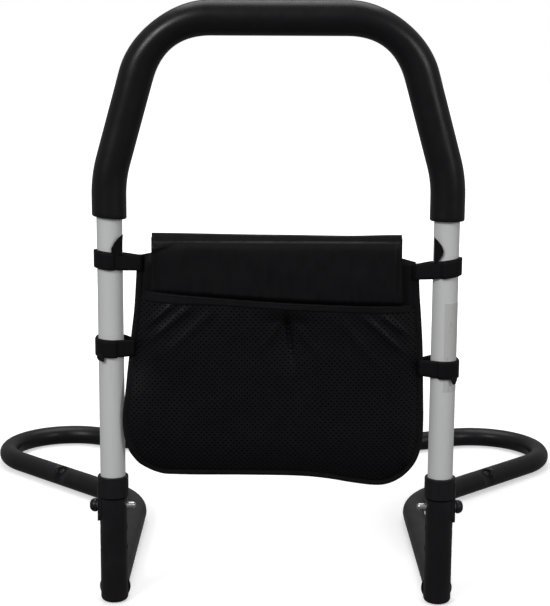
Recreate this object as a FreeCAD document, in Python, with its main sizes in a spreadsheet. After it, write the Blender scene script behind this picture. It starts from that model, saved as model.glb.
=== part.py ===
"""Bed assist rail: a hoop handle that slides into two legs on a floor frame, with a cloth pouch.

Millimetres, +Z up, +X to the right of someone facing the rail, +Y towards the back of the floor frame.
Every piece is drawn about the plane of the legs (Y = 0) and its Placement then moves it, so that the
origin is on the floor at the middle of the whole object.
"""
import FreeCAD, Part
import math
import os

import Sketcher
from FreeCAD import Placement, Rotation, Vector

doc = FreeCAD.newDocument("bed_assist_rail")

# ---------------------------------------------------------------- driving dimensions
DIMENSIONS = {
    # floor frame
    "leg_spacing": 332.6,
    "leg_radius": 14.0,
    "leg_wall": 1.15,
    "leg_foot_level": 5.0,
    "leg_top_level": 129.5,
    "cap_edge_round": 4.8,
    "cap_shank_length": 14.0,
    "frame_tube_radius": 12.7,
    "frame_tube_wall": 1.6,
    "neck_corner_depth": 288.9,
    "neck_turn": 45.5,
    "neck_bend": 110.0,
    "neck_tail_length": 133.7,
    "diagonal_length": 196.7,
    "ear_bend": 81.1,
    "ear_turn": 163.9,
    "rear_bend": 200.0,
    "seam_gap": 0.2,
    "insert_length": 75.0,
    "insert_wall": 1.5,
    "insert_clearance": 0.1,
    "insert_root_length": 8.0,
    "insert_root_gap": 0.5,
    "insert_root_swell": 0.6,
    "weld_leg": 3.2,
    "weld_toe": 0.6,
    "weld_start": 5.0,
    "weld_length": 12.0,
    "weld_floor_gap": 0.4,
    # collar and lug
    "collar_radius": 15.6,
    "collar_bottom_level": 112.3,
    "collar_top_level": 133.5,
    "collar_edge_round": 1.0,
    "collar_lip_clearance": 0.2,
    "lug_radius": 16.4,
    "lug_width": 16.0,
    "lug_bottom_level": 85.0,
    "lug_top_drop": 6.0,
    # lock pins and their holes
    "pin_level": 101.5,
    "pin_radius": 3.5,
    "pin_hole_radius": 3.7,
    "leg_hole_pitch": 22.0,
    "leg_hole_count": 3,
    "hoop_hole_pitch": 11.0,
    "hoop_hole_count": 7,
    "pin_tip_reach": 9.0,
    "pin_tip_rise": 3.2,
    "pin_stub_length": 4.5,
    "pin_seat_gap": 0.3,
    "pin_head_radius": 6.9,
    "pin_head_length": 7.4,
    "pin_head_bevel": 0.6,
    "pin_head_rim": 2.2,
    "crown_radius": 1.2,
    # snap buttons
    "button_distance": 98.9,
    "button_tilt": 35.0,
    "button_radius": 4.0,
    "button_hole_radius": 4.2,
    "button_flange_radius": 5.2,
    "button_back_level": 5.6,
    "button_flange_level": 7.2,
    "button_shoulder_level": 11.2,
    "button_crown_level": 12.2,
    "spring_thickness": 0.6,
    "spring_half_gap": 5.0,
    "spring_half_width": 3.5,
    "spring_fold": 16.0,
    "spring_tip": 7.0,
    "dimple_radius": 45.0,
    "dimple_depth": 1.2,
    # hoop and grip
    "hoop_radius": 12.7,
    "hoop_wall": 1.3,
    "hoop_foot_level": 26.0,
    "hoop_top_level": 589.9,
    "hoop_lean": 15.73,
    "hoop_knee_level": 436.0,
    "hoop_knee_bend": 125.3,
    "hoop_top_bend": 75.5,
    "foam_radius": 17.1,
    "foam_clearance": 0.05,
    "foam_bottom_level": 395.0,
    "plug_flange_thickness": 3.0,
    "plug_flange_inset": 0.2,
    "plug_shank_length": 4.5,
    # pouch
    "panel_half_thickness": 1.2,
    "binding_half_thickness": 2.2,
    "binding_width": 6.5,
    "pouch_corner": 45.0,
    "pouch_shoulder_level": 359.0,
    "pouch_shoulder_left": -138.9,
    "pouch_shoulder_right": 139.8,
    "pouch_chest_level": 335.0,
    "pouch_chest_left": -140.9,
    "pouch_chest_right": 140.8,
    "pouch_waist_level": 244.0,
    "pouch_waist_left": -150.2,
    "pouch_waist_right": 146.2,
    "pouch_foot_level": 190.0,
    "pouch_foot_left": -152.9,
    "pouch_foot_right": 147.6,
    "pouch_bottom_left_level": 134.4,
    "pouch_bottom_middle_level": 133.6,
    "pouch_bottom_right_level": 118.0,
    "pouch_bottom_middle_x": 25.0,
    "panel_tab_overlap": 10.0,
    "panel_tab_drop": 1.0,
    "pocket_depth": 20.8,
    "pocket_wall": 1.6,
    "pocket_inset": 0.5,
    "pocket_mouth_level": 306.0,
    "hem_height": 9.0,
    "flap_gap": 5.0,
    "flap_thickness": 2.0,
    "flap_top_level": 381.0,
    "flap_bottom_level": 250.0,
    "flap_left": -125.3,
    "flap_right": 122.8,
    # straps and label
    "strap_width": 18.0,
    "strap_thickness": 1.8,
    "strap_clearance": 0.35,
    "strap_root": 0.6,
    "strap_gap": 0.1,
    "strap_upper_left_level": 354.3,
    "strap_upper_right_level": 348.0,
    "strap_lower_left_level": 266.5,
    "strap_lower_right_level": 246.5,
    "label_thickness": 0.2,
    "label_clearance": 0.05,
    "label_height": 90.0,
    "label_level": 224.0,
    "label_angle": 100.0,
    "label_start_angle": -95.0,
    # how far a cutting tool goes past what it cuts
    "overrun": 2.0,
}

sheet = doc.addObject("Spreadsheet::Sheet", "dims")
for row, (alias, value) in enumerate(DIMENSIONS.items(), start=1):
    sheet.set(f"A{row}", alias)
    sheet.set(f"B{row}", str(value))
    sheet.setAlias(f"B{row}", alias)
doc.recompute()


def dim(alias):
    """A driving dimension, read back from the sheet."""
    return float(sheet.get(alias))


# ---------------------------------------------------------------- routes of the bent tubes
class Route:
    """A flat route of straight runs and tangent bends, drawn from a start point and a heading."""

    def __init__(self, x, y, heading):
        self.point = Vector(x, y, 0)
        self.heading = heading
        self.curves = []

    def direction(self):
        angle = math.radians(self.heading)
        return Vector(math.cos(angle), math.sin(angle), 0)

    def run(self, length):
        end = self.point + self.direction() * length
        self.curves.append(Part.LineSegment(self.point, end))
        self.point = end
        return self

    def bend(self, radius, turn):
        """Turn left by a positive angle in degrees, right by a negative one."""
        side = math.copysign(1, turn)
        left = Vector(-self.direction().y, self.direction().x, 0)
        centre = self.point + left * (side * radius)
        spoke = self.point - centre
        middle = centre + Rotation(Vector(0, 0, 1), turn / 2).multVec(spoke)
        end = centre + Rotation(Vector(0, 0, 1), turn).multVec(spoke)
        self.curves.append(Part.Arc(self.point, middle, end))
        self.point = end
        self.heading += turn
        return self


def neck_route(side, tail):
    """From the leg straight back, then out along the diagonal, for the side -1 (left) or 1 (right)."""
    corner = dim("neck_bend") * math.tan(math.radians(dim("neck_turn")) / 2)
    route = Route(side * dim("leg_spacing") / 2, 0, 90)
    route.run(dim("neck_corner_depth") - corner)
    route.bend(dim("neck_bend"), -side * dim("neck_turn"))
    route.run(tail)
    return route


def rear_loop_half_route():
    """From the middle of the rear bar out to the right ear and back to the seam on the diagonal."""
    swing = dim("ear_turn") - dim("neck_turn")
    forward = neck_route(1, dim("diagonal_length"))
    forward.bend(dim("ear_bend"), dim("ear_turn"))
    forward.bend(dim("rear_bend"), -(swing - 90))
    route = Route(0, forward.point.y, 0)
    route.run(forward.point.x)
    route.bend(dim("rear_bend"), swing - 90)
    route.bend(dim("ear_bend"), -dim("ear_turn"))
    route.run(dim("diagonal_length") - dim("neck_tail_length") - dim("seam_gap"))
    return route


def hoop_half_route(foot_level):
    """From the middle of the hoop's top round the right side and down to the given level."""
    lean = math.radians(dim("hoop_lean"))
    rise = dim("hoop_top_level") - dim("hoop_knee_level")
    top_corner = dim("hoop_top_bend") * math.tan((math.pi / 2 - lean) / 2)
    knee_corner = dim("hoop_knee_bend") * math.tan(lean / 2)
    shoulder_x = dim("leg_spacing") / 2 - rise * math.tan(lean)
    route = Route(0, dim("hoop_top_level"), 0)
    route.run(shoulder_x - top_corner)
    route.bend(dim("hoop_top_bend"), dim("hoop_lean") - 90)
    route.run(rise / math.cos(lean) - top_corner - knee_corner)
    route.bend(dim("hoop_knee_bend"), -dim("hoop_lean"))
    route.run(dim("hoop_knee_level") - knee_corner - foot_level)
    return route


# ---------------------------------------------------------------- building blocks
OVERRUN = dim("overrun")
DOME_MIDDLE_OUT = 0.78
DOME_MIDDLE_UP = 0.68


def size_of(feature, prop, value):
    """Set one size, bound to the sheet when it is given as an expression."""
    if isinstance(value, str):
        feature.setExpression(prop, value)
    else:
        setattr(feature, prop, value)


def cylinder(name, radius, height, base, axis=Vector(0, 0, 1)):
    feature = doc.addObject("Part::Cylinder", name)
    size_of(feature, "Radius", radius)
    size_of(feature, "Height", height)
    feature.Placement = Placement(base, Rotation(Vector(0, 0, 1), axis))
    return feature


def box(name, low, high):
    feature = doc.addObject("Part::Box", name)
    feature.Length = high.x - low.x
    feature.Width = high.y - low.y
    feature.Height = high.z - low.z
    feature.Placement.Base = low
    return feature


def cut(name, base, *tools):
    """The base with every tool taken away."""
    feature = doc.addObject("Part::Cut", name)
    feature.Base = base
    feature.Tool = tools[0] if len(tools) == 1 else fuse(name + "_tools", *tools)
    return feature


def fuse(name, *shapes):
    feature = doc.addObject("Part::MultiFuse", name)
    feature.Shapes = list(shapes)
    return feature


def common(name, *shapes):
    feature = doc.addObject("Part::MultiCommon", name)
    feature.Shapes = list(shapes)
    return feature


def sketch_on(body, role, name, offset=0.0):
    """A sketch on one of the body's own origin planes, moved along the plane's normal."""
    sketch = body.newObject("Sketcher::SketchObject", name)
    plane = [item for item in body.Origin.OriginFeatures if item.Role == role][0]
    sketch.AttachmentSupport = [(plane, "")]
    sketch.MapMode = "FlatFace"
    sketch.AttachmentOffset = Placement(Vector(0, 0, offset), Rotation())
    return sketch


def add_ring(sketch, x, y, outer, inner):
    """Two circles about one point, with their radii bound to the sheet."""
    for expression in (outer, inner):
        circle = sketch.addGeometry(Part.Circle(Vector(x, y, 0), Vector(0, 0, 1), 10.0))
        radius = sketch.addConstraint(Sketcher.Constraint("Radius", circle, 10.0))
        sketch.setExpression(f"Constraints[{radius}]", expression)


def add_outline(sketch, curves):
    """Curves that already meet end to end."""
    for curve in curves:
        sketch.addGeometry(curve)


def bent_tube(name, route, route_role, route_level, ring_role, ring_at, outer, inner, mirrored):
    """A tube swept along a route, and mirrored about the YZ plane when the route is one half."""
    body = doc.addObject("PartDesign::Body", name + "_body")
    ring = sketch_on(body, ring_role, name + "_ring")
    add_ring(ring, ring_at[0], ring_at[1], outer, inner)
    spine = sketch_on(body, route_role, name + "_route", route_level)
    add_outline(spine, route.curves)
    pipe = body.newObject("PartDesign::AdditivePipe", name + "_sweep")
    pipe.Profile = ring
    pipe.Spine = spine
    doc.recompute()
    if mirrored:
        mirror = body.newObject("PartDesign::Mirrored", name + "_mirror")
        mirror.Originals = [pipe]
        plane = [item for item in body.Origin.OriginFeatures if item.Role == "YZ_Plane"][0]
        mirror.MirrorPlane = (plane, [""])
        body.Tip = mirror
        doc.recompute()
    return body


def turned(name, profile, base, axis=Vector(0, 0, 1)):
    """A solid of revolution: profile is a list of curves in the radius and height plane."""
    body = doc.addObject("PartDesign::Body", name + "_body")
    sketch = sketch_on(body, "XZ_Plane", name + "_profile")
    add_outline(sketch, profile)
    revolution = body.newObject("PartDesign::Revolution", name + "_turn")
    revolution.Profile = sketch
    revolution.ReferenceAxis = (sketch, ["V_Axis"])
    revolution.Angle = 360.0
    body.Placement = Placement(base, Rotation(Vector(0, 0, 1), axis))
    doc.recompute()
    return body


def closed(*points):
    """Straight curves through the points and back to the first. A tuple of three is an arc's middle."""
    vectors = [Vector(p[0], p[1], 0) for p in points]
    is_middle = [len(p) == 3 for p in points]
    curves = []
    count = len(points)
    index = 0
    while index < count:
        here = vectors[index]
        step = 2 if is_middle[(index + 1) % count] else 1
        there = vectors[(index + step) % count]
        if step == 2:
            curves.append(Part.Arc(here, vectors[index + 1], there))
        else:
            curves.append(Part.LineSegment(here, there))
        index += step
    return curves


def dome(radius, foot, top):
    """Profile points up a domed end: its foot, the middle of its arc and the edge of its small flat."""
    middle = (radius * DOME_MIDDLE_OUT, foot + (top - foot) * DOME_MIDDLE_UP, "arc")
    return (radius, foot), middle, (dim("crown_radius"), top)


def rounded(points, radii):
    """A closed outline through corner points, each corner rounded by its own radius."""
    corners = [Vector(x, y, 0) for x, y in points]
    count = len(corners)
    curves = []
    starts = []
    ends = []
    for index, radius in enumerate(radii):
        here = corners[index]
        back = (corners[index - 1] - here).normalize()
        ahead = (corners[(index + 1) % count] - here).normalize()
        half = back.getAngle(ahead) / 2
        reach = radius / math.tan(half)
        starts.append(here + back * reach)
        ends.append(here + ahead * reach)
        if radius > 0:
            bisector = (back + ahead).normalize()
            centre = here + bisector * (radius / math.sin(half))
            curves.append(Part.Arc(starts[-1], centre - bisector * radius, ends[-1]))
    for index in range(count):
        curves.append(Part.LineSegment(ends[index], starts[(index + 1) % count]))
    return curves


def slab(name, curves, front, back):
    """A flat piece with the outline drawn in X and Z, filling Y from front to back."""
    body = doc.addObject("PartDesign::Body", name + "_body")
    sketch = sketch_on(body, "XZ_Plane", name + "_outline", -back)
    add_outline(sketch, curves)
    pad = body.newObject("PartDesign::Pad", name + "_pad")
    pad.Profile = sketch
    pad.Length = back - front
    doc.recompute()
    return body


# ---------------------------------------------------------------- list of finished sub-parts
SIDES = {"left": -1, "right": 1}
subparts = []

rear_edge_y = max(curve.toShape().BoundBox.YMax for curve in rear_loop_half_route().curves)
rear_edge_y += dim("frame_tube_radius")
front_edge_y = -(dim("panel_half_thickness") + dim("pocket_depth"))
TO_CENTRE = Vector(0, -(rear_edge_y + front_edge_y) / 2, 0)


def finish(feature, label):
    """Name a finished sub-part and move it from the leg plane to the object's own frame."""
    feature.Label = label
    feature.Placement = Placement(TO_CENTRE, Rotation()).multiply(feature.Placement)
    subparts.append(feature)


# ---------------------------------------------------------------- hoop, grip and end plugs
def hole_row(name, side, radius, levels, reach):
    """Cylinders along X through one leg or upright, at each level."""
    low_x = side * dim("leg_spacing") / 2 - reach
    return [
        cylinder(f"{name}_{index}", radius, 2 * reach, Vector(low_x, 0, level), Vector(1, 0, 0))
        for index, level in enumerate(levels)
    ]


def hole_levels(kind):
    """Levels of a row of holes, from the lock pin's level downwards."""
    count = int(dim(kind + "_hole_count"))
    return [dim("pin_level") - step * dim(kind + "_hole_pitch") for step in range(count)]


def make_hoop():
    tube = bent_tube(
        "hoop",
        hoop_half_route(dim("hoop_foot_level")),
        "XZ_Plane",
        0.0,
        "YZ_Plane",
        (0, dim("hoop_top_level")),
        "dims.hoop_radius",
        "dims.hoop_radius - dims.hoop_wall",
        True,
    )
    holes = []
    reach = dim("hoop_radius") + OVERRUN
    for side_name, side in SIDES.items():
        name = "hoop_hole_" + side_name
        holes += hole_row(name, side, "dims.pin_hole_radius", hole_levels("hoop"), reach)
    finish(cut("hoop_with_holes", tube, *holes), "hoop_tube")


def make_foam_grip():
    body = bent_tube(
        "foam",
        hoop_half_route(dim("foam_bottom_level")),
        "XZ_Plane",
        0.0,
        "YZ_Plane",
        (0, dim("hoop_top_level")),
        "dims.foam_radius",
        "dims.hoop_radius + dims.foam_clearance",
        True,
    )
    finish(body, "foam_grip")


def make_upright_plug(side_name, side):
    shank = dim("hoop_radius") - dim("hoop_wall")
    flange = dim("hoop_radius") - dim("plug_flange_inset")
    low = -dim("plug_flange_thickness")
    high = dim("plug_shank_length")
    profile = closed((0, low), (flange, low), (flange, 0), (shank, 0), (shank, high), (0, high))
    base = Vector(side * dim("leg_spacing") / 2, 0, dim("hoop_foot_level"))
    finish(turned("upright_plug_" + side_name, profile, base), "upright_plug_" + side_name)


# ---------------------------------------------------------------- legs, caps and collars
def make_leg(side_name, side):
    base = Vector(side * dim("leg_spacing") / 2, 0, dim("leg_foot_level"))
    height = "dims.leg_top_level - dims.leg_foot_level"
    outer = cylinder("leg_outer_" + side_name, "dims.leg_radius", height, base)
    inner = cylinder("leg_inner_" + side_name, "dims.leg_radius - dims.leg_wall", height, base)
    reach = dim("leg_radius") + OVERRUN
    holes = hole_row("leg_hole_" + side_name, side, "dims.pin_hole_radius", hole_levels("leg"), reach)
    finish(cut("leg_" + side_name, outer, inner, *holes), "leg_tube_" + side_name)


def make_leg_cap(side_name, side):
    radius = dim("leg_radius")
    level = dim("leg_foot_level")
    edge = dim("cap_edge_round")
    shank = radius - dim("leg_wall")
    shank_top = level + dim("cap_shank_length")
    slant = edge * (1 - math.sqrt(0.5))
    profile = closed(
        (0, 0),
        (radius - edge, 0),
        (radius - slant, slant, "arc"),
        (radius, edge),
        (radius, level),
        (shank, level),
        (shank, shank_top),
        (0, shank_top),
    )
    base = Vector(side * dim("leg_spacing") / 2, 0, 0)
    finish(turned("leg_cap_" + side_name, profile, base), "leg_cap_" + side_name)


def make_collar(side_name, side):
    """A bushing over the leg's top, with a lip round the upright and a lug down to the lock pin."""
    x = side * dim("leg_spacing") / 2
    low = dim("collar_bottom_level")
    lug_low = dim("lug_bottom_level")
    half_lug = dim("lug_width") / 2
    lug_reach = dim("lug_radius") + OVERRUN
    edge_round = dim("collar_edge_round")
    sleeve = cylinder(
        "collar_sleeve_" + side_name,
        "dims.collar_radius",
        "dims.collar_top_level - dims.collar_bottom_level",
        Vector(x, 0, low),
    )
    softened = doc.addObject("Part::Fillet", "collar_softened_" + side_name)
    doc.recompute()
    softened.Base = sleeve
    softened.Edges = [
        (index, edge_round, edge_round)
        for index, edge in enumerate(sleeve.Shape.Edges, start=1)
        if edge.BoundBox.ZMin > dim("collar_top_level") - edge_round
    ]
    lug_disc = cylinder(
        "lug_disc_" + side_name,
        "dims.lug_radius",
        dim("collar_top_level") - dim("lug_top_drop") - lug_low,
        Vector(x, 0, lug_low),
    )
    tongue = box(
        "lug_tongue_" + side_name,
        Vector(min(x, x + side * lug_reach), -half_lug, lug_low + half_lug),
        Vector(max(x, x + side * lug_reach), half_lug, dim("collar_top_level")),
    )
    tongue_end = cylinder(
        "lug_end_" + side_name,
        "dims.lug_width / 2",
        lug_reach,
        Vector(x, 0, lug_low + half_lug),
        Vector(side, 0, 0),
    )
    lug_shape = fuse("lug_shape_" + side_name, tongue, tongue_end)
    lug = common("lug_" + side_name, lug_disc, lug_shape)
    solid = fuse("collar_solid_" + side_name, softened, lug)
    leg_bore = cylinder(
        "collar_leg_bore_" + side_name,
        "dims.leg_radius",
        dim("leg_top_level") - lug_low + OVERRUN,
        Vector(x, 0, lug_low - OVERRUN),
    )
    lip_bore = cylinder(
        "collar_lip_bore_" + side_name,
        "dims.hoop_radius + dims.collar_lip_clearance",
        dim("collar_top_level") - lug_low + OVERRUN,
        Vector(x, 0, lug_low),
    )
    pin_hole = cylinder(
        "collar_pin_hole_" + side_name,
        "dims.pin_hole_radius",
        lug_reach,
        Vector(x, 0, dim("pin_level")),
        Vector(side, 0, 0),
    )
    collar = cut("collar_" + side_name + "_shape", solid, leg_bore, lip_bore, pin_hole)
    finish(collar, "collar_" + side_name)


# ---------------------------------------------------------------- floor frame tubes
def button_frame(side):
    """The snap button's own frame: X out along the diagonal, Z along the button."""
    route = neck_route(side, dim("button_distance"))
    along = route.direction()
    across = Vector(along.y * side, -along.x * side, 0)
    tilt = math.radians(dim("button_tilt"))
    normal = across * math.sin(tilt) + Vector(0, 0, math.cos(tilt))
    rotation = Rotation(along, normal.cross(along), normal, "XZY")
    centre = Vector(route.point.x, route.point.y, dim("frame_tube_radius"))
    return Placement(centre, rotation)


def place_in(frame, feature):
    """Move a feature drawn in a local frame to where the frame lies."""
    feature.Placement = frame.multiply(feature.Placement)
    return feature


def button_hole(name, side):
    height = dim("frame_tube_radius") + OVERRUN
    hole = cylinder(name, "dims.button_hole_radius", height, Vector(0, 0, 0))
    return place_in(button_frame(side), hole)


def leg_space(name, side):
    """The room taken by a leg beside the floor frame's tube."""
    half_height = dim("frame_tube_radius") + dim("weld_leg") + OVERRUN
    base = Vector(side * dim("leg_spacing") / 2, 0, dim("frame_tube_radius") - half_height)
    return cylinder(name, "dims.leg_radius", 2 * half_height, base)


def make_neck_tube(side_name, side):
    radius = dim("frame_tube_radius")
    tube = bent_tube(
        "neck_" + side_name,
        neck_route(side, dim("neck_tail_length")),
        "XY_Plane",
        radius,
        "XZ_Plane",
        (side * dim("leg_spacing") / 2, radius),
        "dims.frame_tube_radius",
        "dims.frame_tube_radius - dims.frame_tube_wall",
        False,
    )
    cope = leg_space("neck_cope_" + side_name, side)
    scoop_centre = dim("dimple_radius") + radius - dim("dimple_depth")
    scoop = cylinder(
        "dimple_" + side_name,
        "dims.dimple_radius",
        2 * (radius + OVERRUN),
        Vector(0, -radius - OVERRUN, scoop_centre),
        Vector(0, 1, 0),
    )
    place_in(button_frame(side), scoop)
    hole = button_hole("neck_button_hole_" + side_name, side)
    finish(cut("neck_tube_shape_" + side_name, tube, cope, scoop, hole), "neck_tube_" + side_name)


def make_weld_bead(side_name, side):
    """A fillet weld round the neck tube where it meets the leg."""
    leg_x = side * dim("leg_spacing") / 2
    radius = dim("frame_tube_radius")
    backwards = Vector(0, 1, 0)
    back_y = dim("weld_start") + dim("weld_length") + OVERRUN
    reach = radius + dim("weld_leg") + OVERRUN
    cone = doc.addObject("Part::Cone", "weld_cone_" + side_name)
    cone.setExpression("Radius1", "dims.frame_tube_radius + dims.weld_leg")
    cone.setExpression("Radius2", "dims.frame_tube_radius + dims.weld_toe")
    cone.setExpression("Height", "dims.weld_length")
    cone.Placement = Placement(
        Vector(leg_x, dim("weld_start"), radius),
        Rotation(Vector(0, 0, 1), backwards),
    )
    neck = cylinder(
        "weld_neck_" + side_name,
        "dims.frame_tube_radius",
        back_y,
        Vector(leg_x, 0, radius),
        backwards,
    )
    leg = leg_space("weld_leg_" + side_name, side)
    floor = box(
        "weld_floor_" + side_name,
        Vector(leg_x - reach, 0, -reach),
        Vector(leg_x + reach, back_y, dim("weld_floor_gap")),
    )
    finish(cut("weld_" + side_name, cone, neck, leg, floor), "weld_bead_" + side_name)


def make_rear_loop():
    route = rear_loop_half_route()
    radius = dim("frame_tube_radius")
    tube = bent_tube(
        "rear_loop",
        route,
        "XY_Plane",
        radius,
        "YZ_Plane",
        (route.curves[0].StartPoint.y, radius),
        "dims.frame_tube_radius",
        "dims.frame_tube_radius - dims.frame_tube_wall",
        True,
    )
    insert_outer = radius - dim("frame_tube_wall") - dim("insert_clearance")
    root_outer = insert_outer + dim("insert_root_swell")
    root_length = dim("insert_root_length") - dim("insert_root_gap")
    bore_radius = insert_outer - dim("insert_wall")
    sleeve_length = dim("insert_length") + dim("insert_root_length")
    seam = dim("neck_tail_length") + dim("seam_gap") - dim("button_distance")
    start = Vector(seam - dim("insert_length"), 0, 0)
    root_start = Vector(seam + dim("insert_root_gap"), 0, 0)
    axis = Vector(1, 0, 0)
    sleeves = []
    bores = []
    for side_name, side in SIDES.items():
        frame = button_frame(side)
        sleeve = cylinder("insert_" + side_name, insert_outer, sleeve_length, start, axis)
        root = cylinder("insert_root_" + side_name, root_outer, root_length, root_start, axis)
        bore = cylinder("insert_bore_" + side_name, bore_radius, sleeve_length, start, axis)
        sleeves += [place_in(frame, sleeve), place_in(frame, root)]
        bores += [place_in(frame, bore), button_hole("loop_button_hole_" + side_name, side)]
    solid = fuse("rear_loop_solid", tube, *sleeves)
    finish(cut("rear_loop_shape", solid, *bores), "rear_loop_tube")


# ---------------------------------------------------------------- snap buttons and their springs
def make_snap_button(side_name, side):
    flange = dim("button_flange_radius")
    back = dim("button_back_level")
    step = dim("button_flange_level")
    crown = dim("button_crown_level")
    profile = closed(
        (0, back),
        (flange, back),
        (flange, step),
        (dim("button_radius"), step),
        *dome(dim("button_radius"), dim("button_shoulder_level"), crown),
        (0, crown),
    )
    button = turned("snap_button_" + side_name, profile, Vector(0, 0, 0))
    finish(place_in(button_frame(side), button), "snap_button_" + side_name)


def make_snap_spring(side_name, side):
    """A folded leaf spring inside the insert, pressing the button outwards."""
    inner = dim("spring_half_gap")
    outer = inner + dim("spring_thickness")
    fold = -dim("spring_fold")
    tip = dim("spring_tip")
    half_width = dim("spring_half_width")
    curves = closed(
        (tip, inner),
        (fold, inner),
        (fold - inner, 0, "arc"),
        (fold, -inner),
        (tip, -inner),
        (tip, -outer),
        (fold, -outer),
        (fold - outer, 0, "arc"),
        (fold, outer),
        (tip, outer),
    )
    spring = slab("snap_spring_" + side_name, curves, -half_width, half_width)
    finish(place_in(button_frame(side), spring), "snap_spring_" + side_name)


# ---------------------------------------------------------------- lock pins
def make_lock_pin(side_name, side):
    """A round-ended steel shank pushed in from outside, with a domed plastic head against the lug."""
    leg_x = dim("leg_spacing") / 2
    seat = leg_x + dim("lug_radius") + dim("pin_seat_gap")
    tip = leg_x - dim("leg_radius") - dim("pin_tip_reach")
    radius = dim("pin_radius")
    head = dim("pin_head_radius")
    head_end = dim("pin_head_length")
    bevel = dim("pin_head_bevel")
    stub = dim("pin_stub_length")
    length = seat - tip
    shank_profile = closed(
        (0, stub),
        (radius, stub),
        *dome(radius, dim("pin_tip_rise") - length, -length),
        (0, -length),
    )
    head_profile = closed(
        (radius, 0),
        (head - bevel, 0),
        (head, bevel),
        *dome(head, dim("pin_head_rim"), head_end),
        (0, head_end),
        (0, stub),
        (radius, stub),
    )
    base = Vector(side * seat, 0, dim("pin_level"))
    outwards = Vector(side, 0, 0)
    shank = turned("pin_shank_" + side_name, shank_profile, base, outwards)
    knob = turned("pin_head_" + side_name, head_profile, base, outwards)
    finish(shank, "pin_shank_" + side_name)
    finish(knob, "pin_head_" + side_name)


# ---------------------------------------------------------------- pouch, straps and label
def pouch_edge(side_name):
    """One side of the pouch from its foot up to its shoulder, as X and Z."""
    rows = ("foot", "waist", "chest", "shoulder")
    return [(dim(f"pouch_{row}_{side_name}"), dim(f"pouch_{row}_level")) for row in rows]


def edge_x(edge, level):
    """Where one side of the pouch is at a level."""
    for (x0, z0), (x1, z1) in zip(edge, edge[1:]):
        if z0 <= level <= z1:
            return x0 + (x1 - x0) * (level - z0) / (z1 - z0)
    return edge[-1][0]


def pouch_outline(inset, top):
    """The pouch's outline with its sides and bottom drawn in, cut level at the given height."""
    left = [(x + inset, z) for x, z in pouch_edge("left") if z < top]
    right = [(x - inset, z) for x, z in pouch_edge("right") if z < top]
    left.append((edge_x(pouch_edge("left"), top) + inset, top))
    right.append((edge_x(pouch_edge("right"), top) - inset, top))
    left_corner = (left[0][0], dim("pouch_bottom_left_level") + inset)
    middle = (dim("pouch_bottom_middle_x"), dim("pouch_bottom_middle_level") + inset)
    right_corner = (right[0][0], dim("pouch_bottom_right_level") + inset)
    corners = [left_corner] + left + right[::-1] + [right_corner, middle]
    corner_radius = dim("pouch_corner") - inset
    radii = [corner_radius] + [0] * (len(left) + len(right)) + [corner_radius, 0]
    return rounded(corners, radii)


def make_pouch():
    half_panel = dim("panel_half_thickness")
    half_binding = dim("binding_half_thickness")
    width = dim("binding_width")
    shoulder = dim("pouch_shoulder_level")
    flap_left = dim("flap_left")
    flap_right = dim("flap_right")
    flap_top = dim("flap_top_level")
    pocket_front = -half_panel - dim("pocket_depth")
    pocket_inset = width + dim("pocket_inset")
    mouth = dim("pocket_mouth_level")
    wall = dim("pocket_wall")

    lower = slab("panel_lower", pouch_outline(width, shoulder), -half_panel, half_panel)
    tab = box(
        "panel_tab",
        Vector(flap_left, -half_panel, shoulder - dim("panel_tab_overlap")),
        Vector(flap_right, half_panel, flap_top - dim("panel_tab_drop")),
    )
    finish(fuse("back_panel", lower, tab), "pouch_back_panel")

    band = slab("binding_outer", pouch_outline(0, shoulder), -half_binding, half_binding)
    opening_half = half_binding + OVERRUN
    opening = slab("binding_inner", pouch_outline(width, shoulder + OVERRUN), -opening_half, opening_half)
    finish(cut("binding", band, opening), "pouch_binding")

    shell = slab("pocket_outer", pouch_outline(pocket_inset, mouth), pocket_front, -half_panel)
    hollow = slab(
        "pocket_inner",
        pouch_outline(pocket_inset + wall, mouth),
        pocket_front + wall,
        OVERRUN - half_panel,
    )
    finish(cut("pocket", shell, hollow), "mesh_pocket")

    hem = box(
        "hem",
        Vector(edge_x(pouch_edge("left"), mouth) + pocket_inset, pocket_front, mouth),
        Vector(
            edge_x(pouch_edge("right"), mouth) - pocket_inset,
            pocket_front + wall,
            mouth + dim("hem_height"),
        ),
    )
    finish(hem, "mesh_hem")

    flap_back = -half_panel - dim("flap_gap")
    flap_front = flap_back - dim("flap_thickness")
    front = box(
        "flap_front",
        Vector(flap_left, flap_front, dim("flap_bottom_level")),
        Vector(flap_right, flap_back, flap_top),
    )
    fold = box(
        "flap_fold",
        Vector(flap_left, flap_front, flap_top - dim("flap_thickness")),
        Vector(flap_right, -half_panel, flap_top),
    )
    finish(fuse("flap", front, fold), "pouch_flap")


def make_strap(row, side_name, side):
    """A hook-and-loop strap: a ring round the upright and a tongue to the pouch's edge."""
    name = f"strap_{row}_{side_name}"
    leg_x = side * dim("leg_spacing") / 2
    half_width = dim("strap_width") / 2
    half_thickness = dim("strap_thickness") / 2
    low = dim(name + "_level") - half_width
    high = low + dim("strap_width")
    inner_radius = dim("hoop_radius") + dim("strap_clearance")
    outer_radius = inner_radius + dim("strap_thickness")
    outer = cylinder(name + "_outer", outer_radius, "dims.strap_width", Vector(leg_x, 0, low))
    inner = cylinder(name + "_inner", inner_radius, "dims.strap_width", Vector(leg_x, 0, low))
    edge = pouch_edge(side_name)
    ring_end = side * (abs(leg_x) - inner_radius - dim("strap_root"))
    pouch_end = side * (max(abs(edge_x(edge, low)), abs(edge_x(edge, high))) + dim("strap_gap"))
    tongue = box(
        name + "_tongue",
        Vector(min(ring_end, pouch_end), -half_thickness, low),
        Vector(max(ring_end, pouch_end), half_thickness, high),
    )
    finish(cut(name + "_shape", fuse(name + "_solid", outer, tongue), inner), name)


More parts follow.
